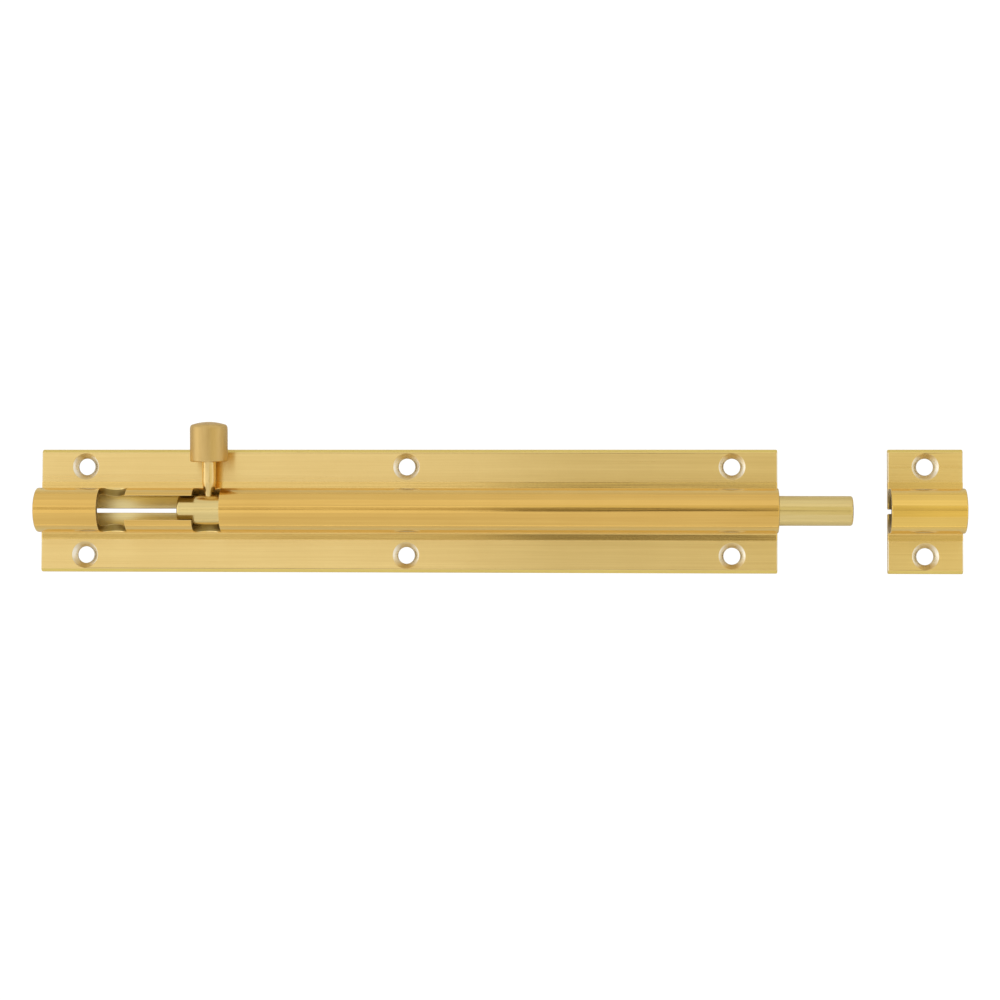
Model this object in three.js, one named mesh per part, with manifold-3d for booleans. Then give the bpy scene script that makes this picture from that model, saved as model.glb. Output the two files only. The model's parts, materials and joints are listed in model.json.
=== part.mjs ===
// Barrel bolt in solid brass, 150 x 25 mm, with its separate keep.
//
// Units are millimetres. The origin is on the mounting plane, midway along the barrel and
// straight behind the axis of the bolt. +X runs along the bolt, from its tail to its nose and
// on to the keep. +Y is across the plate, on the side that the knob is turned to. +Z points out
// of the door.

import * as THREE from 'three';
import { mergeVertices } from 'three/addons/utils/BufferGeometryUtils.js';
import Module from 'manifold-3d';

const wasm = await Module();
wasm.setup();

// The extruded section, which the barrel and the keep are both cut from.
const PLATE_WIDTH = 25;
const PLATE_THICKNESS = 1.6;
const PLATE_CHAMFER = 0.6;
const AXIS_HEIGHT = 4.8;
const HUMP_RADIUS = 4.5;
const HUMP_FILLET = 0.2;
const BORE_RADIUS = 3.2;
const SLIT_WIDTH = 0.9;

// The barrel. A slot is milled through the top of the hump, a little off the axis, and a notch
// is milled across each end of it, which the knob turns down into.
const BARREL_LENGTH = 150;
const CAP_LENGTH = 13;
const SLOT_LENGTH = 24.85;
const SLOT_WIDTH = 4.9;
const SLOT_OFFSET = 0.3;
const NOTCH_LENGTH = 5.6;
const NOTCH_FLOOR = 3.3;
const KNOB_TO_SLOT_END = 2.6;

// The keep, as it lies beside the barrel before it is fitted.
const KEEP_LENGTH = 15;
const KEEP_GAP = 22;

// Screw holes, countersunk at 90 degrees.
const HOLE_RADIUS = 1.7;
const COUNTERSINK_RADIUS = 2.7;
const HOLE_OFFSET = 9;
const HOLE_END_DISTANCE = 9.1;

// The bolt rod.
const ROD_RADIUS = 3;
const ROD_TAIL = 6.25;
const ROD_NOSE = 129.45;
const ROD_CHAMFER = 0.5;
const KNOB_HOLE_RADIUS = 1.25;
const KNOB_HOLE_DEPTH = 4;
const GROOVE_RADIUS = 2.3;
const GROOVE_WIDTH = 2;

// The knob, turned from bar. Its distances are from the axis of the rod.
const SHANK_RADIUS = 0.95;
const SHANK_END = -0.7;
const NECK_START = 3.1;
const NECK_RADIUS = 1.4;
const NECK_CONE_END = 5.5;
const HEAD_START = 9.8;
const HEAD_END = 17.9;
const HEAD_RADIUS = 3.8;
const HEAD_BASE_CHAMFER = 0.3;
const SHOULDER_RADIUS = 3.2;
const SHOULDER_HEIGHT = 0.9;
const CROWN_HEIGHT = 0.5;
const CROWN_RISE_AT_HALF_RADIUS = 0.375;
const KNOB_REST_ANGLE = THREE.MathUtils.degToRad(4.5);

// The friction ring, a split spring ring round the rod.
const RING_INNER_RADIUS = 2.6;
const RING_OUTER_RADIUS = 3.1;
const RING_WIDTH = 1.4;
const RING_SPLIT = THREE.MathUtils.degToRad(24);

const ROUND_SEGMENTS = 32;
const HOLE_SEGMENTS = 24;
const SECTION_ARC_SEGMENTS = 20;

// How far cutting tools reach past the metal, and how near two points are to count as one.
const SPARE = 2;
const WELD_DISTANCE = 1e-5;

// Colours of the metals.
const EXTRUSION_BRASS = 0xdcb96c;
const ROD_BRASS = 0xe3cd87;
const KNOB_BRASS = 0xc8a462;
const SPRING_STEEL = 0x8f9296;

const slotStart = -BARREL_LENGTH / 2 + CAP_LENGTH;
const slotEnd = slotStart + SLOT_LENGTH;
const knobX = slotEnd - KNOB_TO_SLOT_END;
const keepStart = BARREL_LENGTH / 2 + KEEP_GAP;

function toSolid(geometry) {
  const bare = geometry.clone();
  bare.deleteAttribute('normal');
  bare.deleteAttribute('uv');
  const merged = mergeVertices(bare, WELD_DISTANCE);
  return new wasm.Manifold(new wasm.Mesh({
    numProp: 3,
    vertProperties: new Float32Array(merged.attributes.position.array),
    triVerts: new Uint32Array(merged.index.array),
  }));
}

function toGeometry(solid) {
  const mesh = solid.getMesh();
  const geometry = new THREE.BufferGeometry();
  geometry.setAttribute('position', new THREE.BufferAttribute(mesh.vertProperties, 3));
  geometry.setIndex(new THREE.BufferAttribute(mesh.triVerts, 1));
  geometry.computeVertexNormals();
  return geometry;
}

function metal(color, roughness) {
  return new THREE.MeshStandardMaterial({ color, roughness, metalness: 1 });
}

// A box between two corners, as a cutting tool.
function boxCutter(low, high) {
  const geometry = new THREE.BoxGeometry(high[0] - low[0], high[1] - low[1], high[2] - low[2]);
  geometry.translate((low[0] + high[0]) / 2, (low[1] + high[1]) / 2, (low[2] + high[2]) / 2);
  return toSolid(geometry);
}

// Turns a shape drawn in the YZ plane and extruded along Z into a solid that runs along X.
function extrudeAlongX(shape, start, length) {
  const geometry = new THREE.ExtrudeGeometry(shape, {
    depth: length,
    bevelEnabled: false,
    curveSegments: SECTION_ARC_SEGMENTS,
  });
  const acrossToY = new THREE.Vector3(0, 1, 0);
  const upToZ = new THREE.Vector3(0, 0, 1);
  const depthToX = new THREE.Vector3(1, 0, 0);
  geometry.applyMatrix4(new THREE.Matrix4().makeBasis(acrossToY, upToZ, depthToX));
  geometry.translate(start, 0, 0);
  return geometry;
}

// The drawn section: a flat plate with a round-topped hump, a bore through the hump, and a slit
// along the back that opens the bore.
function sectionShape() {
  const halfWidth = PLATE_WIDTH / 2;
  const halfSlit = SLIT_WIDTH / 2;
  const slitAngle = Math.asin(halfSlit / BORE_RADIUS);
  const filletHeight = PLATE_THICKNESS + HUMP_FILLET;
  const filletCentre = HUMP_RADIUS + HUMP_FILLET;
  const quarter = Math.PI / 2;
  const shape = new THREE.Shape();
  shape.moveTo(halfSlit, 0);
  shape.lineTo(halfWidth, 0);
  shape.lineTo(halfWidth, PLATE_THICKNESS - PLATE_CHAMFER);
  shape.lineTo(halfWidth - PLATE_CHAMFER, PLATE_THICKNESS);
  shape.lineTo(filletCentre, PLATE_THICKNESS);
  shape.absarc(filletCentre, filletHeight, HUMP_FILLET, -quarter, -2 * quarter, true);
  shape.lineTo(HUMP_RADIUS, AXIS_HEIGHT);
  shape.absarc(0, AXIS_HEIGHT, HUMP_RADIUS, 0, 2 * quarter, false);
  shape.lineTo(-HUMP_RADIUS, filletHeight);
  shape.absarc(-filletCentre, filletHeight, HUMP_FILLET, 0, -quarter, true);
  shape.lineTo(-halfWidth + PLATE_CHAMFER, PLATE_THICKNESS);
  shape.lineTo(-halfWidth, PLATE_THICKNESS - PLATE_CHAMFER);
  shape.lineTo(-halfWidth, 0);
  shape.lineTo(-halfSlit, 0);
  shape.absarc(0, AXIS_HEIGHT, BORE_RADIUS, -quarter - slitAngle, -quarter + slitAngle, true);
  shape.closePath();
  return shape;
}

// A drill and countersink in one tool, standing on the plate at a screw hole.
function screwHoleCutter(x, y) {
  const countersinkDepth = COUNTERSINK_RADIUS - HOLE_RADIUS;
  const profile = [
    new THREE.Vector2(0, -SPARE),
    new THREE.Vector2(HOLE_RADIUS, -SPARE),
    new THREE.Vector2(HOLE_RADIUS, PLATE_THICKNESS - countersinkDepth),
    new THREE.Vector2(COUNTERSINK_RADIUS, PLATE_THICKNESS),
    new THREE.Vector2(COUNTERSINK_RADIUS + SPARE, PLATE_THICKNESS + SPARE),
    new THREE.Vector2(0, PLATE_THICKNESS + SPARE),
  ];
  const geometry = new THREE.LatheGeometry(profile, HOLE_SEGMENTS);
  geometry.rotateX(Math.PI / 2);
  geometry.translate(x, y, 0);
  return toSolid(geometry);
}

function extrusionWithHoles(start, length, holePositions) {
  let solid = toSolid(extrudeAlongX(sectionShape(), start, length));
  for (const x of holePositions) {
    for (const side of [-1, 1]) {
      solid = solid.subtract(screwHoleCutter(x, side * HOLE_OFFSET));
    }
  }
  return solid;
}

// A notch milled across the barrel: round at the bottom, open at the top.
function notchCutter(centreX, side, top) {
  const radius = NOTCH_LENGTH / 2;
  const centreZ = NOTCH_FLOOR + radius;
  const geometry = new THREE.CylinderGeometry(radius, radius, 2 * side, ROUND_SEGMENTS);
  geometry.translate(centreX, 0, centreZ);
  const open = boxCutter([centreX - radius, -side, centreZ], [centreX + radius, side, top]);
  return toSolid(geometry).add(open);
}

function makeBarrelBody() {
  const half = BARREL_LENGTH / 2;
  const top = AXIS_HEIGHT + HUMP_RADIUS + SPARE;
  const side = HUMP_RADIUS + SPARE;
  const holes = [-half + HOLE_END_DISTANCE, 0, half - HOLE_END_DISTANCE];
  let solid = extrusionWithHoles(-half, BARREL_LENGTH, holes);
  const slotLow = SLOT_OFFSET - SLOT_WIDTH / 2;
  const slotHigh = SLOT_OFFSET + SLOT_WIDTH / 2;
  const slotCutter = boxCutter([slotStart, slotLow, AXIS_HEIGHT], [slotEnd, slotHigh, top]);
  solid = solid.subtract(slotCutter);
  const notchRadius = NOTCH_LENGTH / 2;
  for (const centre of [slotStart + notchRadius, slotEnd - notchRadius]) {
    solid = solid.subtract(notchCutter(centre, side, top));
  }
  // The rim on the knob's side is left out between the notches. On the real bolt the knob is
  // turned up out of its notch before it slides; here the slide runs free of the turn.
  const rimLow = [slotStart + notchRadius, 0, NOTCH_FLOOR];
  const rimHigh = [slotEnd - notchRadius, side, top];
  solid = solid.subtract(boxCutter(rimLow, rimHigh));
  const mesh = new THREE.Mesh(toGeometry(solid), metal(EXTRUSION_BRASS, 0.3));
  mesh.name = 'barrel_body';
  return mesh;
}

function makeKeep() {
  const solid = extrusionWithHoles(keepStart, KEEP_LENGTH, [keepStart + KEEP_LENGTH / 2]);
  const mesh = new THREE.Mesh(toGeometry(solid), metal(EXTRUSION_BRASS, 0.3));
  mesh.name = 'keep';
  return mesh;
}

// The rod lies along X with the knob's axis at zero. It has a blind hole for the knob's shank
// and a groove round it for the friction ring.
function makeBoltRod() {
  const grooveCentre = -knobX;
  const grooveLow = grooveCentre - GROOVE_WIDTH / 2;
  const grooveHigh = grooveCentre + GROOVE_WIDTH / 2;
  const profile = [
    new THREE.Vector2(0, -ROD_TAIL),
    new THREE.Vector2(ROD_RADIUS - ROD_CHAMFER, -ROD_TAIL),
    new THREE.Vector2(ROD_RADIUS, -ROD_TAIL + ROD_CHAMFER),
    new THREE.Vector2(ROD_RADIUS, grooveLow),
    new THREE.Vector2(GROOVE_RADIUS, grooveLow),
    new THREE.Vector2(GROOVE_RADIUS, grooveHigh),
    new THREE.Vector2(ROD_RADIUS, grooveHigh),
    new THREE.Vector2(ROD_RADIUS, ROD_NOSE - ROD_CHAMFER),
    new THREE.Vector2(ROD_RADIUS - ROD_CHAMFER, ROD_NOSE),
    new THREE.Vector2(0, ROD_NOSE),
  ];
  const turned = new THREE.LatheGeometry(profile, ROUND_SEGMENTS);
  turned.rotateZ(-Math.PI / 2);
  const drillLength = KNOB_HOLE_DEPTH + SPARE;
  const drill = new THREE.CylinderGeometry(
    KNOB_HOLE_RADIUS, KNOB_HOLE_RADIUS, drillLength, HOLE_SEGMENTS);
  drill.translate(0, ROD_RADIUS - KNOB_HOLE_DEPTH + drillLength / 2, 0);
  const solid = toSolid(turned).subtract(toSolid(drill));
  const mesh = new THREE.Mesh(toGeometry(solid), metal(ROD_BRASS, 0.25));
  mesh.name = 'bolt_rod';
  return mesh;
}

// The knob stands along Y from the axis of the rod: shank, cone, neck and a plain round head.
function makeKnob() {
  const crownBase = HEAD_END - CROWN_HEIGHT;
  const profile = [
    new THREE.Vector2(0, SHANK_END),
    new THREE.Vector2(SHANK_RADIUS, SHANK_END),
    new THREE.Vector2(SHANK_RADIUS, NECK_START),
    new THREE.Vector2(NECK_RADIUS, NECK_CONE_END),
    new THREE.Vector2(NECK_RADIUS, HEAD_START),
    new THREE.Vector2(HEAD_RADIUS - HEAD_BASE_CHAMFER, HEAD_START),
    new THREE.Vector2(HEAD_RADIUS, HEAD_START + HEAD_BASE_CHAMFER),
    new THREE.Vector2(HEAD_RADIUS, crownBase - SHOULDER_HEIGHT),
    new THREE.Vector2(SHOULDER_RADIUS, crownBase),
    new THREE.Vector2(SHOULDER_RADIUS / 2, crownBase + CROWN_RISE_AT_HALF_RADIUS),
    new THREE.Vector2(0, HEAD_END),
  ];
  const turned = new THREE.LatheGeometry(profile, ROUND_SEGMENTS);
  const mesh = new THREE.Mesh(turned, metal(KNOB_BRASS, 0.35));
  mesh.name = 'knob';
  return mesh;
}

// The ring is split at the back, so that it can be sprung over the rod into its groove.
function makeFrictionRing() {
  const splitCentre = -Math.PI / 2;
  const from = splitCentre + RING_SPLIT / 2;
  const to = splitCentre + 2 * Math.PI - RING_SPLIT / 2;
  const shape = new THREE.Shape();
  shape.absarc(0, 0, RING_OUTER_RADIUS, from, to, false);
  shape.absarc(0, 0, RING_INNER_RADIUS, to, from, true);
  shape.closePath();
  const ring = extrudeAlongX(shape, -RING_WIDTH / 2, RING_WIDTH);
  const mesh = new THREE.Mesh(ring, metal(SPRING_STEEL, 0.4));
  mesh.name = 'friction_ring';
  mesh.position.set(0, 0, AXIS_HEIGHT);
  return mesh;
}

// The rod and the knob turn together about the axis of the rod.
function makeBolt() {
  const bolt = new THREE.Group();
  bolt.position.set(knobX, 0, AXIS_HEIGHT);
  bolt.rotation.x = KNOB_REST_ANGLE;
  bolt.add(makeBoltRod());
  bolt.add(makeKnob());
  return bolt;
}

const barrelBolt = new THREE.Group();
barrelBolt.add(makeBarrelBody());
barrelBolt.add(makeFrictionRing());
barrelBolt.add(makeBolt());
barrelBolt.add(makeKeep());

export default barrelBolt;
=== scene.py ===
"""Straight barrel bolt in brass with its keep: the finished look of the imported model.

Meshes are built in millimetres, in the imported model's frame, and turned into metres when they
become pieces. +X runs from the tail of the bolt to its nose, +Y is the side the knob lies on, and
+Z points out of the mounting plane.
"""

import json
import math

import bmesh
import bpy
from mathutils import Matrix, Vector


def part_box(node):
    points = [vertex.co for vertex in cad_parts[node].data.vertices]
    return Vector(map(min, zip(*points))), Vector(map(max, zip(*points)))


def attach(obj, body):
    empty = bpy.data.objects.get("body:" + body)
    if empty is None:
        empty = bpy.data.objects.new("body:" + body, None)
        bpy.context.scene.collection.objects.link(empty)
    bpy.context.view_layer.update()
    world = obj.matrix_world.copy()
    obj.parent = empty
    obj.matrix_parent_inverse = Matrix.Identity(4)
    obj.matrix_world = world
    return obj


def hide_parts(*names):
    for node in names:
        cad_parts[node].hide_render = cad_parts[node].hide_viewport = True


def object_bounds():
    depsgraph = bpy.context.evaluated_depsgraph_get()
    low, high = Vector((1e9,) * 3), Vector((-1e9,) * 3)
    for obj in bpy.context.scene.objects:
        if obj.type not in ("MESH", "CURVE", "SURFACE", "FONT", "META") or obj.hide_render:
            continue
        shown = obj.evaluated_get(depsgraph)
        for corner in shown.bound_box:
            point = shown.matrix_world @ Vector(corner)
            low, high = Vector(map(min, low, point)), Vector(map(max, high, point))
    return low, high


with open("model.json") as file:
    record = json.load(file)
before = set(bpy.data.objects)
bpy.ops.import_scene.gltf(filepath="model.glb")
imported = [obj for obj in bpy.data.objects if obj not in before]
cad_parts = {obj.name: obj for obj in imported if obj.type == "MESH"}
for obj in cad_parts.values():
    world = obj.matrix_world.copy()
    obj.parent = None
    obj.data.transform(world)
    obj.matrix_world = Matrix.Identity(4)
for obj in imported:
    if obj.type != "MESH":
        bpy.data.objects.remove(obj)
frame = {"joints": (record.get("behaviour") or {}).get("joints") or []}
cad_low, cad_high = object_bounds()

MM = 0.001

# ---------------------------------------------------------------- sizes, in millimetres


def box_mm(node):
    """The two corners of a CAD node's box."""
    low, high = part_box(node)
    return Vector(low) / MM, Vector(high) / MM


barrel_low, barrel_high = box_mm("barrel_body")
keep_low, keep_high = box_mm("keep")
rod_low, rod_high = box_mm("bolt_rod")
knob_low, knob_high = box_mm("knob")
ring_low, ring_high = box_mm("friction_ring")
turn_joint = next(joint for joint in frame["joints"] if joint["name"] == "bolt_turn")

AXIS_HEIGHT = turn_joint["pos_m"][2] / MM
PLATE_HALF_WIDTH = barrel_high.y
HUMP_RADIUS = barrel_high.z - AXIS_HEIGHT
ROD_RADIUS = (rod_high.y - rod_low.y) / 2
KNOB_X = (knob_low.x + knob_high.x) / 2
HEAD_RADIUS = (knob_high.x - knob_low.x) / 2

# the drawn section
PLATE_THICKNESS = 1.6
PLATE_CHAMFER = 0.6
CHAMFER_EDGE = 0.35
BACK_EDGE = 0.15
SLIT_EDGE = 0.1
LEAST_EDGE = 0.02
HUMP_FILLET = 0.2
CREST_FLAT_WIDTH = 0.95
POLISHED_HALF_WIDTH = 5.85
BORE_RADIUS = 3.2
SLIT_WIDTH = 0.9

# the slot and the two notches at its ends
CAP_LENGTH = 13.0
SLOT_LENGTH = 24.85
SLOT_WIDTH = 4.9
SLOT_OFFSET = 0.3
NOTCH_LENGTH = 5.6
NOTCH_FLOOR = 3.3

# the screw holes
HOLE_RADIUS = 1.7
COUNTERSINK_RADIUS = 2.7
HOLE_OFFSET = 9.0
HOLE_END_DISTANCE = 9.1

# the bolt and the ring in its groove
ROD_EDGE = 0.5
GROOVE_RADIUS = 2.3
GROOVE_PLAY = 0.3
RING_RADIUS = 3.1
RING_BORE_RADIUS = 2.6
RING_HALF_GAP = 12

# the knob and its tapped hole, with places along the knob from the bolt's axis
KNOB_REST_ANGLE = math.radians(4.5)
TAPPED_HOLE_FLOOR = -0.9
TAPPED_HOLE_SINK = 2.4
TAPPED_HOLE_PLAY = 0.05
SHANK_END = -0.7
SHANK_RADIUS = 0.95
NECK_CONE_START = 3.1
NECK_CONE_END = 5.5
NECK_RADIUS = 1.4
HEAD_START = 9.8
HEAD_END = 17.86
HEAD_EDGE = 0.3
SHOULDER_RADIUS = 3.2
SHOULDER_HEIGHT = 0.9
CROWN_HEIGHT = 0.5

# edges, cutters and steps round a curve
END_EDGE = 0.28
END_STEPS = 4
CUT_EDGE = 0.07
SPARE = 3.0
WELD_DISTANCE = 0.01
FLAT_ANGLE = math.radians(0.3)
CUT_ANGLE = math.radians(30)
SHARP_ANGLE = math.radians(38)
CREST_STEPS = 120
BORE_STEPS = 72
MILL_STEPS = 32
RING_STEPS = 48
TURNED_STEPS = 96
COUNTERSINK_STEPS = 64
DRILL_STEPS = 48

# ---------------------------------------------------------------- outlines


def arc(centre, radius, start, end, steps):
    """Points on an arc, both ends included; angles in degrees, anticlockwise from +Y."""
    points = []
    for step in range(steps + 1):
        angle = math.radians(start + (end - start) * step / steps)
        across = radius * math.cos(angle)
        up = radius * math.sin(angle)
        points.append(Vector((centre[0] + across, centre[1] + up)))
    return points


def round_corner(before, corner, after, radius, steps):
    """The corner of an outline, replaced by an arc tangent to both of its sides."""
    to_before = (before - corner).normalized()
    to_after = (after - corner).normalized()
    half = to_before.angle(to_after) / 2
    centre = corner + (to_before + to_after).normalized() * radius / math.sin(half)
    first = corner + to_before * radius / math.tan(half) - centre
    last = corner + to_after * radius / math.tan(half) - centre
    points = []
    for step in range(steps + 1):
        points.append(centre + first.normalized().slerp(last.normalized(), step / steps) * radius)
    return points


def section_outline(inset):
    """The drawn section in the YZ plane, anticlockwise, as one outline through the slit. An inset
    moves every side into the metal by that much and keeps the number of points. The crest is
    slightly flat on the knob's side."""
    chamfer_shift = inset * math.tan(math.radians(45 / 2))
    half_slit = SLIT_WIDTH / 2 + inset
    bore_radius = BORE_RADIUS + inset
    hump_radius = HUMP_RADIUS - inset
    half_width = PLATE_HALF_WIDTH - inset
    top = PLATE_THICKNESS - inset
    slit_angle = math.degrees(math.asin(half_slit / bore_radius))
    slit_top = AXIS_HEIGHT - math.sqrt(bore_radius**2 - half_slit**2)
    chamfer_foot = PLATE_THICKNESS - PLATE_CHAMFER - chamfer_shift
    chamfer_top = PLATE_HALF_WIDTH - PLATE_CHAMFER - chamfer_shift
    slit_edge, back_edge, chamfer_edge = (
        max(edge - inset, LEAST_EDGE) for edge in (SLIT_EDGE, BACK_EDGE, CHAMFER_EDGE)
    )
    corners = [
        (Vector((half_slit, slit_top)), 0, 0),
        (Vector((half_slit, inset)), slit_edge, 3),
        (Vector((half_width, inset)), back_edge, 3),
        (Vector((half_width, chamfer_foot)), chamfer_edge, 4),
        (Vector((chamfer_top, top)), chamfer_edge, 4),
        (Vector((hump_radius, top)), HUMP_FILLET + inset, 8),
        (Vector((hump_radius, AXIS_HEIGHT)), 0, 0),
    ]
    side = [corners[0][0]]
    for before, (corner, radius, steps), after in zip(corners, corners[1:], corners[2:]):
        side += round_corner(before[0], corner, after[0], radius, steps)
    axis = (0.0, AXIS_HEIGHT)
    crest = arc(axis, hump_radius, 0, 180, CREST_STEPS)
    for point in crest:
        if point.x > 0:
            fall = point.x**2 / (2 * hump_radius)
            point.y += fall * math.exp(-((point.x / CREST_FLAT_WIDTH) ** 4))
    other_side = [Vector((-point.x, point.y)) for point in reversed(side)]
    bore = arc(axis, bore_radius, 270 - slit_angle, -90 + slit_angle, BORE_STEPS)
    return side + crest + other_side + bore[1:-1]


# ---------------------------------------------------------------- mesh tools


def mesh_from(build):
    """A mesh from a function that fills a bmesh."""
    work = bmesh.new()
    build(work)
    bmesh.ops.recalc_face_normals(work, faces=work.faces)
    mesh = bpy.data.meshes.new("work")
    work.to_mesh(mesh)
    work.free()
    return mesh


def loft(sections):
    """A solid through (x, outline) sections along X, whose outlines have equally many points."""

    def build(work):
        rings = []
        for x, outline in sections:
            rings.append([work.verts.new((x, point[0], point[1])) for point in outline])
        work.faces.new(rings[0])
        work.faces.new(rings[-1])
        for lower, upper in zip(rings, rings[1:]):
            for index in range(len(lower)):
                following = (index + 1) % len(lower)
                corners = (lower[index], lower[following], upper[following], upper[index])
                work.faces.new(corners)

    return mesh_from(build)


def extrusion(outline, start, end):
    """An outline in the YZ plane, run along X."""
    return loft([(start, outline), (end, outline)])


def sawn_section(low_x, high_x):
    """A length of the drawn section, with its sawn ends rounded over a little."""
    sections = []
    for step in range(END_STEPS + 1):
        turn = math.pi / 2 * step / END_STEPS
        outline = section_outline(END_EDGE * (1 - math.sin(turn)))
        sections.append((END_EDGE * (1 - math.cos(turn)), outline))
    low_end = [(low_x + along, outline) for along, outline in sections]
    high_end = [(high_x - along, outline) for along, outline in reversed(sections)]
    return loft(low_end + high_end)


def turned(profile, segments):
    """A profile of (along, radius) points turned round the X axis, closed by its first and last
    points, which lie on the axis."""

    def build(work):
        tips = [work.verts.new((profile[index][0], 0, 0)) for index in (0, -1)]
        rings = []
        for along, radius in profile[1:-1]:
            ring = []
            for segment in range(segments):
                angle = 2 * math.pi * segment / segments
                ring.append(work.verts.new((along, radius * math.cos(angle), radius * math.sin(angle))))
            rings.append(ring)
        for segment in range(segments):
            following = (segment + 1) % segments
            work.faces.new((tips[0], rings[0][segment], rings[0][following]))
            work.faces.new((tips[1], rings[-1][following], rings[-1][segment]))
            for lower, upper in zip(rings, rings[1:]):
                corners = (lower[segment], lower[following], upper[following], upper[segment])
                work.faces.new(corners)

    return mesh_from(build)


def block(low, high):
    """A rectangular cutter between two corners."""
    outline = [
        Vector((low[1], low[2])),
        Vector((high[1], low[2])),
        Vector((high[1], high[2])),
        Vector((low[1], high[2])),
    ]
    return extrusion(outline, low[0], high[0])


def evaluated(mesh, add_modifiers):
    """The mesh with modifiers applied; add_modifiers puts them on a temporary object."""
    holder = bpy.data.objects.new("holder", mesh)
    bpy.context.scene.collection.objects.link(holder)
    add_modifiers(holder)
    graph = bpy.context.evaluated_depsgraph_get()
    result = bpy.data.meshes.new_from_object(holder.evaluated_get(graph))
    bpy.data.objects.remove(holder)
    return result


def cut(mesh, cutters):
    """The mesh with every cutter taken out of it, one after another."""
    for cutter in cutters:
        tool = bpy.data.objects.new("tool", cutter)
        bpy.context.scene.collection.objects.link(tool)

        def add_modifiers(holder):
            boolean = holder.modifiers.new("cut", "BOOLEAN")
            boolean.operation = "DIFFERENCE"
            boolean.solver = "EXACT"
            boolean.object = tool

        mesh = evaluated(mesh, add_modifiers)
        bpy.data.objects.remove(tool)
    return mesh


def soften(mesh, low_x, high_x):
    """Breaks the edges that the cutters left between the two ends."""
    work = bmesh.new()
    work.from_mesh(mesh)
    bmesh.ops.remove_doubles(work, verts=work.verts, dist=WELD_DISTANCE)
    bmesh.ops.dissolve_limit(
        work, angle_limit=FLAT_ANGLE, verts=work.verts, edges=work.edges
    )
    weights = work.edges.layers.float.new("bevel_weight_edge")
    for edge in work.edges:
        if len(edge.link_faces) != 2 or edge.calc_face_angle(0) < CUT_ANGLE:
            continue
        middle = (edge.verts[0].co.x + edge.verts[1].co.x) / 2
        if low_x + 2 * END_EDGE < middle < high_x - 2 * END_EDGE:
            edge[weights] = 1.0
    work.to_mesh(mesh)
    work.free()

    def add_modifiers(holder):
        bevel = holder.modifiers.new("soften", "BEVEL")
        bevel.width = CUT_EDGE
        bevel.segments = 2
        bevel.limit_method = "WEIGHT"
        bevel.use_clamp_overlap = False

    return evaluated(mesh, add_modifiers)


def add_piece(name, mesh, body, node, material):
    """Turns a mesh in millimetres into a piece that rides on a body and replaces a CAD node."""
    mesh.transform(Matrix.Scale(MM, 4))
    mesh.name = name
    mesh.shade_smooth()
    mesh.set_sharp_from_angle(angle=SHARP_ANGLE)
    mesh.materials.clear()
    mesh.materials.append(material)
    piece = bpy.data.objects.new(name, mesh)
    bpy.context.scene.collection.objects.link(piece)
    weighted = piece.modifiers.new("flat faces stay flat", "WEIGHTED_NORMAL")
    weighted.keep_sharp = True
    weighted.weight = 100
    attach(piece, body)
    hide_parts(node)
    return piece


# ---------------------------------------------------------------- pieces


def screw_hole(x, y):
    """The cutter for a screw hole through the plate, countersunk at 90 degrees."""
    depth = COUNTERSINK_RADIUS - HOLE_RADIUS
    mesh = turned(
        [
            (-SPARE, 0),
            (-SPARE, HOLE_RADIUS),
            (PLATE_THICKNESS - depth, HOLE_RADIUS),
            (PLATE_THICKNESS + SPARE, COUNTERSINK_RADIUS + SPARE),
            (PLATE_THICKNESS + SPARE, 0),
        ],
        COUNTERSINK_STEPS,
    )
    mesh.transform(Matrix.Translation((x, y, 0)) @ Matrix.Rotation(-math.pi / 2, 4, "Y"))
    return mesh


def section_with_holes(low_x, high_x, hole_places):
    """A length of the drawn section with a pair of screw holes at each place along X."""
    cutters = [screw_hole(x, side * HOLE_OFFSET) for x in hole_places for side in (-1, 1)]
    return cut(sawn_section(low_x, high_x), cutters)


def notch_cutter(centre, side, top):
    """The path of an end mill across the barrel: round at the bottom, straight above."""
    radius = NOTCH_LENGTH / 2
    outline = arc((0.0, NOTCH_FLOOR + radius), radius, 180, 360, MILL_STEPS)
    outline += [Vector((radius, top)), Vector((-radius, top))]
    mesh = extrusion(outline, -side, side)
    turn = Matrix(((0, 1, 0), (-1, 0, 0), (0, 0, 1))).to_4x4()
    mesh.transform(Matrix.Translation((centre, 0, 0)) @ turn)
    return mesh


def make_barrel(material):
    """The barrel, with its slot in the hump and a notch across the hump at each end of the slot."""
    low_x, high_x = barrel_low.x, barrel_high.x
    hole_places = (low_x + HOLE_END_DISTANCE, (low_x + high_x) / 2, high_x - HOLE_END_DISTANCE)
    mesh = section_with_holes(low_x, high_x, hole_places)
    slot_start = low_x + CAP_LENGTH
    slot_end = slot_start + SLOT_LENGTH
    top = barrel_high.z + SPARE
    side = HUMP_RADIUS + SPARE / 2
    cutters = [
        block(
            (slot_start, SLOT_OFFSET - SLOT_WIDTH / 2, AXIS_HEIGHT),
            (slot_end, SLOT_OFFSET + SLOT_WIDTH / 2, top),
        )
    ]
    for centre in (slot_start + NOTCH_LENGTH / 2, slot_end - NOTCH_LENGTH / 2):
        cutters.append(notch_cutter(centre, side, top))
    mesh = soften(cut(mesh, cutters), low_x, high_x)
    add_piece("barrel", mesh, "barrel", "barrel_body", material)


def make_keep(material):
    """The keep: a short length of the barrel's section."""
    low_x, high_x = keep_low.x, keep_high.x
    mesh = section_with_holes(low_x, high_x, [(low_x + high_x) / 2])
    mesh = soften(mesh, low_x, high_x)
    add_piece("keep_piece", mesh, "keep", "keep", material)


def knob_turn():
    """Turns the X axis to where the knob points at rest."""
    return Matrix.Rotation(KNOB_REST_ANGLE, 4, "X") @ Matrix.Rotation(math.pi / 2, 4, "Z")


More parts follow.
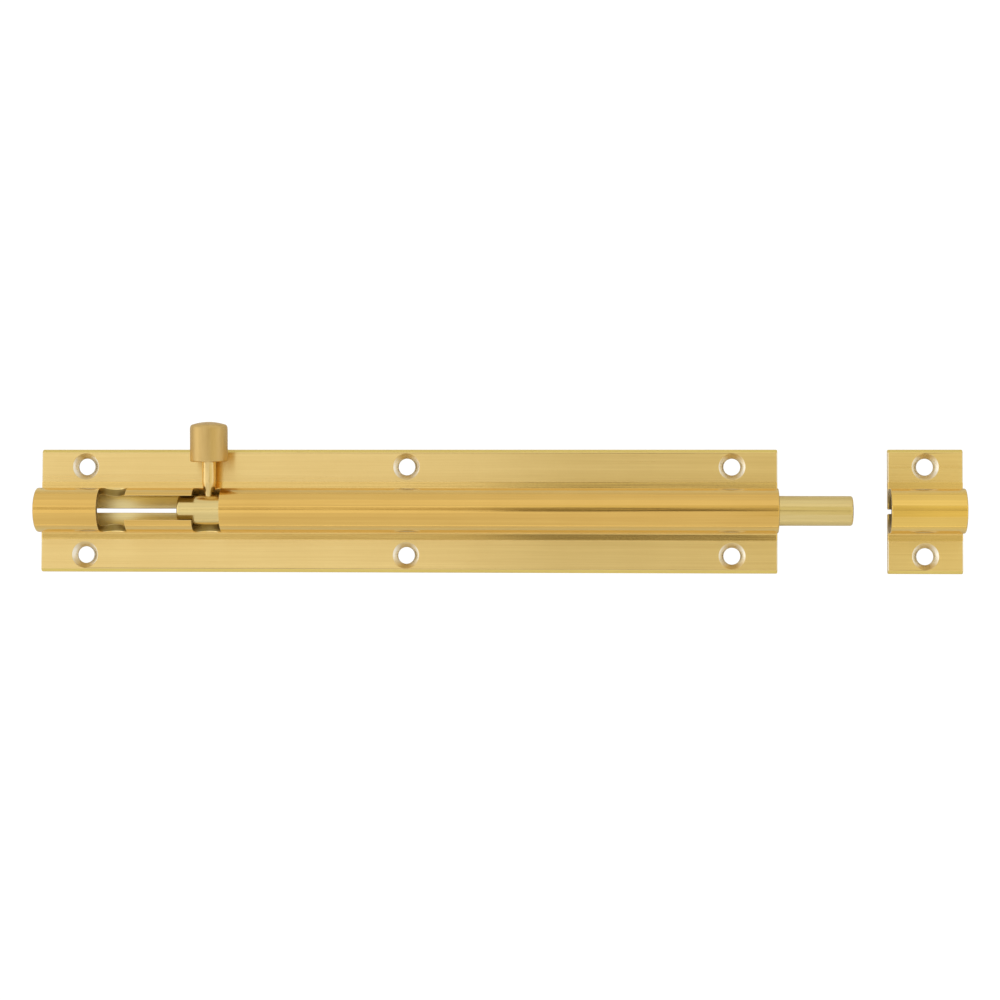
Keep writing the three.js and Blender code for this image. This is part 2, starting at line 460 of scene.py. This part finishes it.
def make_rod(material):
    """The sliding bolt: a bar with rounded ends, the ring's groove and the knob's tapped hole."""
    groove_start = ring_low.x - GROOVE_PLAY
    groove_end = ring_high.x + GROOVE_PLAY
    profile = [(rod_low.x, 0)] + rounded_step(rod_low.x, ROD_RADIUS, ROD_EDGE)
    profile += [(groove_start, ROD_RADIUS), (groove_start, GROOVE_RADIUS)]
    profile += [(groove_end, GROOVE_RADIUS), (groove_end, ROD_RADIUS)]
    nose = rounded_step(-rod_high.x, ROD_RADIUS, ROD_EDGE)
    profile += [(-along, radius) for along, radius in reversed(nose)]
    profile.append((rod_high.x, 0))
    mesh = turned(profile, TURNED_STEPS)
    hole_radius = SHANK_RADIUS + TAPPED_HOLE_PLAY
    outside = ROD_RADIUS + 1.0
    drill = turned(
        [
            (TAPPED_HOLE_FLOOR, 0),
            (TAPPED_HOLE_FLOOR, hole_radius),
            (TAPPED_HOLE_SINK, hole_radius),
            (outside, hole_radius + outside - TAPPED_HOLE_SINK),
            (outside, 0),
        ],
        DRILL_STEPS,
    )
    drill.transform(Matrix.Translation((KNOB_X, 0, 0)) @ knob_turn())
    mesh = cut(mesh, [drill])
    mesh.transform(Matrix.Translation((0, 0, AXIS_HEIGHT)))
    add_piece("rod", mesh, "bolt", "bolt_rod", material)


def knob_profile():
    """(along, radius) points from the shank's end, over the neck and the head, to the crown."""
    crown_base = HEAD_END - CROWN_HEIGHT
    points = [(SHANK_END, 0), (SHANK_END, SHANK_RADIUS - 0.2), (SHANK_END + 0.2, SHANK_RADIUS)]
    points += [(NECK_CONE_START - 0.2, SHANK_RADIUS), (NECK_CONE_START + 0.2, SHANK_RADIUS + 0.06)]
    points += [(NECK_CONE_END - 0.3, NECK_RADIUS - 0.07), (NECK_CONE_END, NECK_RADIUS - 0.02)]
    points += [(NECK_CONE_END + 0.4, NECK_RADIUS), (HEAD_START - 0.3, NECK_RADIUS)]
    points += [(HEAD_START - 0.08, NECK_RADIUS + 0.08), (HEAD_START, NECK_RADIUS + 0.3)]
    points += rounded_step(HEAD_START, HEAD_RADIUS, HEAD_EDGE)
    points += [(crown_base - SHOULDER_HEIGHT - 0.1, HEAD_RADIUS)]
    for step in range(1, 7):
        turn = math.radians(step * 15)
        along = crown_base - SHOULDER_HEIGHT + SHOULDER_HEIGHT * math.sin(turn)
        points.append((along, SHOULDER_RADIUS + (HEAD_RADIUS - SHOULDER_RADIUS) * math.cos(turn)))
    for step in range(1, 11):
        share = 1 - step / 10
        points.append((crown_base + CROWN_HEIGHT * (1 - share**2), SHOULDER_RADIUS * share))
    return points


def rounded_step(start, radius, edge):
    """Points of a rounded outer edge where a face at start meets a cylinder."""
    points = []
    for step in range(5):
        turn = math.radians(90 * step / 4)
        points.append((start + edge - edge * math.cos(turn), radius - edge + edge * math.sin(turn)))
    return points


def make_knob(material):
    """The knob, turned in one piece with its neck and shank, and screwed into the bolt."""
    mesh = turned(knob_profile(), TURNED_STEPS)
    mesh.transform(Matrix.Translation((KNOB_X, 0, AXIS_HEIGHT)) @ knob_turn())
    add_piece("turned_knob", mesh, "bolt", "knob", material)


def make_ring(material):
    """The split spring ring in the bolt's groove, with its gap towards the plate."""
    first = RING_HALF_GAP - 90
    last = 270 - RING_HALF_GAP
    outer = arc((0.0, AXIS_HEIGHT), RING_RADIUS, first, last, RING_STEPS)
    inner = arc((0.0, AXIS_HEIGHT), RING_BORE_RADIUS, last, first, RING_STEPS)
    mesh = extrusion(outer + inner, ring_low.x, ring_high.x)
    add_piece("spring_ring", mesh, "slider", "friction_ring", material)


# ---------------------------------------------------------------- materials

TARNISH = (0.82, 0.76, 0.66, 1)
WORN_BRASS = (0.93, 0.72, 0.34, 1)
DARK_STEEL = (0.25, 0.25, 0.26, 1)
PALE_STEEL = (0.42, 0.42, 0.43, 1)

# colour and roughness of each finish
POLISHED_BARREL = ((0.82, 0.53, 0.148, 1), 0.13)
POLISHED_KEEP = ((0.91, 0.62, 0.16, 1), 0.13)
BRUSHED_PLATE = ((0.915, 0.685, 0.28, 1), 0.3)
DULL_FOOT = ((0.88, 0.66, 0.26, 1), 0.18)
POLISHED_STRIP = ((0.87, 0.62, 0.22, 1), 0.13)
# the bores' colours are painted light and painted shade: pale in the barrel for the light through its
# slot, dark in the keep for the shade inside it
BARREL_BORE_PAINTED_LIGHT = ((0.97, 0.82, 0.42, 1), 0.42)
KEEP_BORE_PAINTED_SHADE = ((0.38, 0.28, 0.11, 1), 0.42)
# painted shade: the sawn and milled faces, the pits of the notches among them, are painted dark for the
# shade in these recesses
CUT_FACES_PAINTED_SHADE = ((0.34, 0.24, 0.075, 1), 0.42)
# painted reflection: the countersinks are painted pale, and palest on their sides towards the section's
# ends, for the bright surroundings they reflect
COUNTERSINK_PAINTED_REFLECTION = ((0.84, 0.66, 0.34, 1), 0.3)
COUNTERSINK_ENDS_PAINTED_REFLECTION = ((1.0, 0.95, 0.82, 1), 0.3)
CHAMFER = ((0.88, 0.69, 0.21, 1), 0.3)
BAR = ((0.81, 0.64, 0.275, 1), 0.2)
POLISHED_NECK = ((0.83, 0.62, 0.27, 1), 0.22)
KNOB_HEAD = ((0.7, 0.49, 0.19, 1), 0.42)

# scale, roughness and weight of the three sizes of line left by drawing and turning
LINES = ((5200.0, 0.6, 0.35), (1500.0, 0.5, 0.4), (420.0, 0.5, 0.25))
LINE_DETAIL = 2.0
LINE_DEPTH = 0.03 * MM
GRAIN_DEPTH = 0.02 * MM
WORN_EDGE = 0.22 * MM
BRUSHED_ANISOTROPY = 0.9


class Nodes:
    """A short way to lay out a material's nodes. A value is a number, a colour or a socket."""

    def __init__(self, name):
        self.material = bpy.data.materials.new(name)
        self.material.use_nodes = True
        self.tree = self.material.node_tree
        self.tree.nodes.clear()

    def add(self, kind, inputs=None, **settings):
        node = self.tree.nodes.new(kind)
        for key, value in settings.items():
            setattr(node, key, value)
        for key, value in (inputs or {}).items():
            if isinstance(value, bpy.types.NodeSocket):
                self.tree.links.new(value, node.inputs[key])
            else:
                node.inputs[key].default_value = value
        return node

    def math(self, operation, first, second=0.0):
        node = self.add("ShaderNodeMath", {0: first, 1: second}, operation=operation)
        return node.outputs[0]

    def ramp(self, value, low, high, to_low=0.0, to_high=1.0):
        """The value, stretched from low..high to to_low..to_high and held there."""
        node = self.add(
            "ShaderNodeMapRange",
            {"Value": value, "From Min": low, "From Max": high, "To Min": to_low, "To Max": to_high},
            clamp=True,
        )
        return node.outputs["Result"]

    def mix(self, factor, first, second, blend="MIX"):
        """A blend of two colours."""
        node = self.add("ShaderNodeMix", data_type="RGBA", blend_type=blend)
        for socket, value in ((0, factor), (6, first), (7, second)):
            if isinstance(value, bpy.types.NodeSocket):
                self.tree.links.new(value, node.inputs[socket])
            else:
                node.inputs[socket].default_value = value
        return node.outputs[2]

    def blend(self, factor, first, second):
        """A blend of two numbers."""
        gap = self.math("SUBTRACT", second, first)
        return self.math("ADD", first, self.math("MULTIPLY", gap, factor))

    def noise(self, vector, scale, detail, roughness):
        node = self.add(
            "ShaderNodeTexNoise",
            {"Vector": vector, "Scale": scale, "Detail": detail, "Roughness": roughness},
        )
        return node.outputs["Fac"]


def brass(name, finish, along, turn=0.0, zones=None, brushed=False):
    """Brass with fine lines from drawing or turning. along stretches the noise: a small number
    on the axis that the lines run along. turn is that axis's angle about X. zones gives
    (mask, colour, roughness) for the parts of the piece that are finished otherwise. brushed
    makes the first zone brushed along X."""
    n = Nodes(name)
    place = n.add("ShaderNodeTexCoord").outputs["Object"]
    lines_at = n.add(
        "ShaderNodeMapping", {"Vector": place, "Rotation": (turn, 0, 0), "Scale": along}
    ).outputs["Vector"]
    lines = 0.0
    for scale, line_roughness, weight in LINES:
        layer = n.noise(lines_at, scale, LINE_DETAIL, line_roughness)
        lines = n.math("ADD", n.math("MULTIPLY", layer, weight), lines)
    cloud = n.noise(place, 90.0, 3.0, 0.5)
    base, rough = finish
    finishes = zones(n) if zones else []
    for mask, zone_colour, zone_roughness in finishes:
        base = n.mix(mask, base, zone_colour)
        rough = n.blend(mask, rough, zone_roughness)
    rough = n.math("ADD", rough, n.ramp(lines, 0.3, 0.7, -0.04, 0.04))
    darker = n.mix(1.0, base, TARNISH, "MULTIPLY")
    tone = n.mix(n.ramp(lines, 0.62, 0.38, 0.0, 0.5), base, darker)
    tone = n.mix(n.ramp(cloud, 0.35, 0.75, 0.0, 0.22), tone, darker)
    tone = n.mix(edge_wear(n), tone, WORN_BRASS)
    bump = n.add("ShaderNodeBump", {"Height": lines, "Strength": 0.35, "Distance": LINE_DEPTH})
    shader = n.add(
        "ShaderNodeBsdfPrincipled",
        {"Base Color": tone, "Metallic": 1.0, "Roughness": rough, "Normal": bump.outputs[0]},
    )
    if brushed:
        across = n.add(
            "ShaderNodeVectorTransform",
            {0: (0, 1, 0)},
            vector_type="VECTOR",
            convert_from="OBJECT",
            convert_to="WORLD",
        )
        stretch = n.math("MULTIPLY", finishes[0][0], BRUSHED_ANISOTROPY)
        n.tree.links.new(across.outputs[0], shader.inputs["Tangent"])
        n.tree.links.new(stretch, shader.inputs["Anisotropic"])
    n.add("ShaderNodeOutputMaterial", {"Surface": shader.outputs[0]})
    return n.material


def edge_wear(n):
    """Bright where an edge has been rubbed: where the bevelled normal leaves the true one."""
    normal = n.add("ShaderNodeNewGeometry").outputs["Normal"]
    rounded = n.add("ShaderNodeBevel", {"Radius": WORN_EDGE}, samples=4).outputs["Normal"]
    facing = n.add("ShaderNodeVectorMath", {0: normal, 1: rounded}, operation="DOT_PRODUCT")
    return n.ramp(facing.outputs["Value"], 0.995, 0.9, 0.0, 0.6)


def section_zones(n, bore_painted_tone):
    """The drawn section away from its polished hump: the brushed plate, the hump's feet, which
    the polishing hardly reached, the polished strips beside them, the bore, with painted light in
    the barrel and painted shade in the keep, the sawn and milled faces, darkened with painted
    shade, the countersinks, made pale with a painted reflection and palest on their sides towards
    the section's ends, and the plate's chamfers. Later zones lie over earlier ones."""
    coordinates = n.add("ShaderNodeTexCoord").outputs
    parts = n.add("ShaderNodeSeparateXYZ", {0: coordinates["Object"]}).outputs
    out = n.math("ABSOLUTE", parts["Y"])
    plate = n.ramp(out, (POLISHED_HALF_WIDTH - 0.1) * MM, (POLISHED_HALF_WIDTH + 0.1) * MM)
    strip = n.ramp(out, (HUMP_RADIUS + 0.1) * MM, (HUMP_RADIUS + 0.2) * MM)
    strip = n.math("SUBTRACT", strip, plate)
    foot = n.ramp(out, (HUMP_RADIUS - 1.3) * MM, (HUMP_RADIUS - 0.5) * MM)
    foot = n.math("SUBTRACT", foot, plate)
    height = n.math("SUBTRACT", parts["Z"], AXIS_HEIGHT * MM)
    squares = n.math("ADD", n.math("MULTIPLY", out, out), n.math("MULTIPLY", height, height))
    from_axis = n.math("SQRT", squares)
    # the bore gets painted light in the barrel and painted shade in the keep
    bore = n.ramp(from_axis, (BORE_RADIUS + 0.05) * MM, (BORE_RADIUS + 0.02) * MM)
    inside = n.ramp(from_axis, (HUMP_RADIUS - 0.07) * MM, (HUMP_RADIUS - 0.1) * MM)
    above = n.ramp(parts["Z"], (PLATE_THICKNESS + 0.3) * MM, (PLATE_THICKNESS + 0.35) * MM)
    # painted shade on the sawn and milled faces between the bore and the hump's outside
    cut_faces_shade = n.math("MULTIPLY", n.math("SUBTRACT", inside, bore), above)
    facing = n.add("ShaderNodeSeparateXYZ", {0: coordinates["Normal"]}).outputs
    sloped = n.math("MULTIPLY", plate, n.ramp(facing["Z"], 0.93, 0.85))
    sloped = n.math("MULTIPLY", sloped, n.ramp(facing["Z"], 0.3, 0.5))
    # painted reflection, palest on the countersinks' sides that face the section's ends
    endways = n.math("MULTIPLY", sloped, n.ramp(n.math("ABSOLUTE", facing["X"]), 0.25, 0.6))
    rim = (PLATE_HALF_WIDTH - PLATE_CHAMFER) * MM
    chamfer = n.math("MULTIPLY", sloped, n.ramp(out, rim - 0.1 * MM, rim))
    return (
        (plate, *BRUSHED_PLATE),
        (foot, *DULL_FOOT),
        (strip, *POLISHED_STRIP),
        (bore, *bore_painted_tone),
        (cut_faces_shade, *CUT_FACES_PAINTED_SHADE),
        (sloped, *COUNTERSINK_PAINTED_REFLECTION),
        (endways, *COUNTERSINK_ENDS_PAINTED_REFLECTION),
        (chamfer, *CHAMFER),
    )


def barrel_zones(n):
    """The barrel's bore is painted pale: painted light for the light that falls in through the slot."""
    return section_zones(n, BARREL_BORE_PAINTED_LIGHT)


def keep_zones(n):
    """The keep's bore is painted darker than the barrel's: painted shade for a bore with no slot to let
    the light in.
    """
    return section_zones(n, KEEP_BORE_PAINTED_SHADE)


def knob_zones(n):
    """The knob's head has a duller finish than its neck."""
    place = n.add("ShaderNodeTexCoord").outputs["Object"]
    parts = n.add("ShaderNodeSeparateXYZ", {0: place}).outputs
    head = n.ramp(parts["Y"], (HEAD_START - 0.2) * MM, (HEAD_START - 0.1) * MM)
    return ((head, *KNOB_HEAD),)


def steel(name):
    """Dull spring steel with a fine grain."""
    n = Nodes(name)
    place = n.add("ShaderNodeTexCoord").outputs["Object"]
    grain = n.noise(place, 3000.0, 4.0, 0.6)
    tone = n.mix(grain, DARK_STEEL, PALE_STEEL)
    rough = n.ramp(grain, 0.3, 0.7, 0.3, 0.45)
    bump = n.add("ShaderNodeBump", {"Height": grain, "Strength": 0.3, "Distance": GRAIN_DEPTH})
    shader = n.add(
        "ShaderNodeBsdfPrincipled",
        {"Base Color": tone, "Metallic": 1.0, "Roughness": rough, "Normal": bump.outputs[0]},
    )
    n.add("ShaderNodeOutputMaterial", {"Surface": shader.outputs[0]})
    return n.material


# ---------------------------------------------------------------- studio

PAPER = 0.82
BACKDROP_GLOW = 1.05
CARD_GREY = 0.05
WORLD_STRENGTH = 0.84
TABLE_HEIGHT = -0.2
BACKDROP_HEIGHT = -0.1
CAMERA_CARD_HEIGHT = 480
WALL_CARD_HEIGHT = 500
DARK = (1.0, 0.86, 0.5, 1)
DIM = (1.0, 0.9, 0.6, 1)


def rectangle(low, high):
    """The corners of a rectangle, in order."""
    return (low, (high[0], low[1]), high, (low[0], high[1]))


GROUND = rectangle((-3000, -3000), (3000, 3000))

# name, glow, its colour, height and corners of the cards above the object
CARDS = (
    ("near_wall", 0.84, (0.96, 0.93, 0.76, 1), WALL_CARD_HEIGHT, rectangle((-8, 28), (104, 300))),
    ("dull_wall", 0.76, (0.93, 0.89, 0.67, 1), WALL_CARD_HEIGHT, rectangle((104, -300), (165, 300))),
    ("far_wall", 0.87, (0.96, 0.91, 0.66, 1), WALL_CARD_HEIGHT, rectangle((165, -300), (800, 300))),
    ("camera_body", 0.2, DARK, CAMERA_CARD_HEIGHT, rectangle((-8, -66), (50, 28))),
    ("camera_side", 0.2, DARK, CAMERA_CARD_HEIGHT, rectangle((50, -36), (104, 24))),
    ("left_arm", 0.52, DIM, CAMERA_CARD_HEIGHT, ((-420, 3), (-8, -14), (-8, 24), (-420, 16))),
    ("right_arm", 0.52, DIM, CAMERA_CARD_HEIGHT, ((104, -10), (400, 3), (400, 16), (104, 22))),
)

# name, place and size in metres, and radiance of the lights, which all face the object
LIGHTS = (
    ("ceiling", (0, 0, 1.0), (1.6, 1.4), 0.03),
    ("key", (-0.1, 0.75, 0.78), (1.4, 0.35), 0.12),
    ("left", (-0.75, 0, 1.2), (0.9, 1.6), 0.17),
    ("front", (-0.3, -1.0, 0.03), (1.4, 0.08), 0.35),
    ("left_box", (-0.9, 0, 0.3), (0.8, 0.5), 0.5),
    ("right_box", (0.9, 0, 0.3), (0.8, 0.5), 0.2),
)

CAMERA_AIM = Vector((0.6, -0.45, -2.94))
CAMERA_DISTANCE = 474.0
CAMERA_YAW = math.radians(3.33)
CAMERA_PITCH = math.radians(2.42)
CAMERA_ROLL = math.radians(0.21)
CAMERA_LENS = 84.3


def stage_shape(name, corners, height, material):
    """A flat shape of the studio at a height, with its corners in order; all in millimetres."""

    def build(work):
        work.faces.new([work.verts.new((x, y, height)) for x, y in corners])

    mesh = mesh_from(build)
    mesh.transform(Matrix.Scale(MM, 4))
    mesh.materials.append(material)
    piece = bpy.data.objects.new(name, mesh)
    bpy.context.scene.collection.objects.link(piece)
    return piece


def stage_material(name, grey, glow, glow_colour=(1, 1, 1, 1)):
    """A dull grey surface of the studio that also glows."""
    n = Nodes(name)
    shader = n.add(
        "ShaderNodeBsdfPrincipled",
        {
            "Base Color": (grey, grey, grey, 1),
            "Roughness": 0.9,
            "Emission Color": glow_colour,
            "Emission Strength": glow,
        },
    )
    n.add("ShaderNodeOutputMaterial", {"Surface": shader.outputs[0]})
    return n.material


def make_studio():
    """A paper table, which the camera can't see, and a plain white backdrop, which nothing but
    the camera can see. Above them hang cards for the camera, the arms that hold it and the
    yellowish walls, which the camera can't see and which show as reflections in the brass."""
    paper = stage_material("paper", PAPER, 0.0)
    table = stage_shape("table", GROUND, TABLE_HEIGHT, paper)
    table.visible_camera = False
    white = stage_material("white", 0.0, BACKDROP_GLOW)
    backdrop = stage_shape("backdrop", GROUND, BACKDROP_HEIGHT, white)
    backdrop.visible_glossy = False
    backdrop.visible_diffuse = False
    backdrop.visible_shadow = False
    for name, glow, glow_colour, height, corners in CARDS:
        material = stage_material(name, CARD_GREY, glow, glow_colour)
        card = stage_shape(name, corners, height, material)
        card.visible_camera = False


def add_panel(name, place, size, radiance):
    """A soft rectangular light at place, in metres, that faces the object."""
    light = bpy.data.lights.new(name, "AREA")
    light.shape = "RECTANGLE"
    light.size, light.size_y = size
    light.energy = radiance * math.pi * size[0] * size[1]
    panel = bpy.data.objects.new(name, light)
    panel.location = place
    panel.rotation_euler = (-Vector(place)).to_track_quat("-Z", "Y").to_euler()
    panel.visible_camera = False
    bpy.context.scene.collection.objects.link(panel)


def make_lights():
    """An even white world with a few soft lights."""
    world = bpy.data.worlds.new("studio")
    bpy.context.scene.world = world
    world.use_nodes = True
    background = world.node_tree.nodes["Background"]
    background.inputs["Color"].default_value = (1, 1, 1, 1)
    background.inputs["Strength"].default_value = WORLD_STRENGTH
    for name, place, size, radiance in LIGHTS:
        add_panel(name, place, size, radiance)


def make_camera():
    """Nearly straight above the mounting plane, a little towards the nose and the -Y side."""
    aim = (Vector(cad_low) + Vector(cad_high)) / 2 / MM + CAMERA_AIM
    turn = (
        Matrix.Rotation(CAMERA_YAW, 4, "Y")
        @ Matrix.Rotation(CAMERA_PITCH, 4, "X")
        @ Matrix.Rotation(CAMERA_ROLL, 4, "Z")
    )
    place = aim + turn @ Vector((0, 0, CAMERA_DISTANCE))
    data = bpy.data.cameras.new("camera")
    data.lens = CAMERA_LENS
    data.sensor_width = 36.0
    data.clip_start = 0.01
    data.clip_end = 20.0
    camera = bpy.data.objects.new("camera", data)
    camera.matrix_world = Matrix.Translation(place * MM) @ turn
    bpy.context.scene.collection.objects.link(camera)
    bpy.context.scene.camera = camera


# ---------------------------------------------------------------- scene

# how the noise of the fine lines is scaled along each axis
ALONG_SECTION = (0.01, 1, 1)
ALONG_BAR = (0.02, 1, 1)
ROUND_KNOB = (1, 0.05, 1)

drawn_brass = brass("drawn_brass", POLISHED_BARREL, ALONG_SECTION, zones=barrel_zones, brushed=True)
keep_brass = brass("keep_brass", POLISHED_KEEP, ALONG_SECTION, zones=keep_zones, brushed=True)
bar_brass = brass("bar_brass", BAR, ALONG_BAR)
knob_brass = brass("knob_brass", POLISHED_NECK, ROUND_KNOB, -KNOB_REST_ANGLE, knob_zones)

make_barrel(drawn_brass)
make_keep(keep_brass)
make_rod(bar_brass)
make_knob(knob_brass)
make_ring(steel("ring_steel"))

make_studio()
make_lights()
make_camera()

bpy.context.scene.view_settings.view_transform = "Standard"
bpy.context.scene.view_settings.look = "None"
